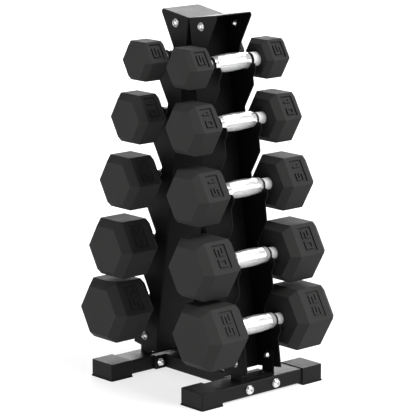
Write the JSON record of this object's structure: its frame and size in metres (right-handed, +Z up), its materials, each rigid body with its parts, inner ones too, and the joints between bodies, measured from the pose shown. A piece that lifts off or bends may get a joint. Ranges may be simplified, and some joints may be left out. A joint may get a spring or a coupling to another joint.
{
  "type": "dumbbell rack",
  "caption": "A-frame dumbbell rack of folded sheet steel with hooked tiers on both sides, two base tubes with rubber boots, holding hexagonal rubber dumbbells.",
  "frame": {"origin": "on the floor under the middle of the rack", "axes": "+X along the dumbbell handles and the base tubes, +Y towards the rear, +Z up"},
  "size_m": [0.2868, 0.3662, 0.6456],
  "materials": {
    "panel_powder_coat": "satin fine-texture black powder coat",
    "bracket_powder_coat": "satin black powder coat",
    "tube_powder_coat": "satin black powder coat",
    "boot_rubber": "matt moulded rubber",
    "head_rubber": "matt rubber with a fine grain",
    "cast_iron": "rough as cast",
    "chrome": "polished chrome, knurled in the middle of the grip",
    "zinc": "bright zinc plating"
  },
  "bodies": {
    "rack": {"base_bolts": "zinc", "base_nuts": "zinc", "base_washers": "zinc", "bracket_screws": "bracket_powder_coat", "cap_bolts": "zinc", "cap_nuts": "zinc", "cap_washers": "zinc", "crossbar": "tube_powder_coat", "crossbar_end_plates": "bracket_powder_coat", "foot_bolts": "zinc", "foot_nuts": "zinc", "foot_washers": "zinc", "front_base_tube": "tube_powder_coat", "front_foot_bracket": "bracket_powder_coat", "front_left_boot": "boot_rubber", "front_panel": "panel_powder_coat", "front_right_boot": "boot_rubber", "rear_base_tube": "tube_powder_coat", "rear_foot_bracket": "bracket_powder_coat", "rear_left_boot": "boot_rubber", "rear_panel": "panel_powder_coat", "rear_right_boot": "boot_rubber", "rivet_nuts": "zinc", "top_cap": "bracket_powder_coat"},
    "front_5lb_dumbbell": {"front_5lb_handle": "chrome", "front_5lb_cores": "cast_iron", "front_5lb_heads": "head_rubber"},
    "front_10lb_dumbbell": {"front_10lb_handle": "chrome", "front_10lb_cores": "cast_iron", "front_10lb_heads": "head_rubber"},
    "front_15lb_dumbbell": {"front_15lb_handle": "chrome", "front_15lb_cores": "cast_iron", "front_15lb_heads": "head_rubber"},
    "front_20lb_dumbbell": {"front_20lb_handle": "chrome", "front_20lb_cores": "cast_iron", "front_20lb_heads": "head_rubber"},
    "front_25lb_dumbbell": {"front_25lb_handle": "chrome", "front_25lb_cores": "cast_iron", "front_25lb_heads": "head_rubber"},
    "rear_5lb_dumbbell": {"rear_5lb_handle": "chrome", "rear_5lb_cores": "cast_iron", "rear_5lb_heads": "head_rubber"},
    "rear_10lb_dumbbell": {"rear_10lb_handle": "chrome", "rear_10lb_cores": "cast_iron", "rear_10lb_heads": "head_rubber"},
    "rear_15lb_dumbbell": {"rear_15lb_handle": "chrome", "rear_15lb_cores": "cast_iron", "rear_15lb_heads": "head_rubber"},
    "rear_20lb_dumbbell": {"rear_20lb_handle": "chrome", "rear_20lb_cores": "cast_iron", "rear_20lb_heads": "head_rubber"},
    "rear_25lb_dumbbell": {"rear_25lb_handle": "chrome", "rear_25lb_cores": "cast_iron", "rear_25lb_heads": "head_rubber"}
  },
  "joints": [
    {"name": "front_5lb_lift", "type": "slide", "parent": "rack", "child": "front_5lb_dumbbell", "axis": [0, -0.2857, 0.9583], "range_m": [0, 0.05]},
    {"name": "front_10lb_lift", "type": "slide", "parent": "rack", "child": "front_10lb_dumbbell", "axis": [0, -0.2857, 0.9583], "range_m": [0, 0.023]},
    {"name": "front_15lb_lift", "type": "slide", "parent": "rack", "child": "front_15lb_dumbbell", "axis": [0, -0.2857, 0.9583], "range_m": [0, 0.023]},
    {"name": "front_20lb_lift", "type": "slide", "parent": "rack", "child": "front_20lb_dumbbell", "axis": [0, -0.2857, 0.9583], "range_m": [0, 0.0225]},
    {"name": "front_25lb_lift", "type": "slide", "parent": "rack", "child": "front_25lb_dumbbell", "axis": [0, -0.2857, 0.9583], "range_m": [0, 0.0095]},
    {"name": "rear_5lb_lift", "type": "slide", "parent": "rack", "child": "rear_5lb_dumbbell", "axis": [0, 0.2857, 0.9583], "range_m": [0, 0.05]},
    {"name": "rear_10lb_lift", "type": "slide", "parent": "rack", "child": "rear_10lb_dumbbell", "axis": [0, 0.2857, 0.9583], "range_m": [0, 0.023]},
    {"name": "rear_15lb_lift", "type": "slide", "parent": "rack", "child": "rear_15lb_dumbbell", "axis": [0, 0.2857, 0.9583], "range_m": [0, 0.023]},
    {"name": "rear_20lb_lift", "type": "slide", "parent": "rack", "child": "rear_20lb_dumbbell", "axis": [0, 0.2857, 0.9583], "range_m": [0, 0.0225]},
    {"name": "rear_25lb_lift", "type": "slide", "parent": "rack", "child": "rear_25lb_dumbbell", "axis": [0, 0.2857, 0.9583], "range_m": [0, 0.0095]}
  ]
}
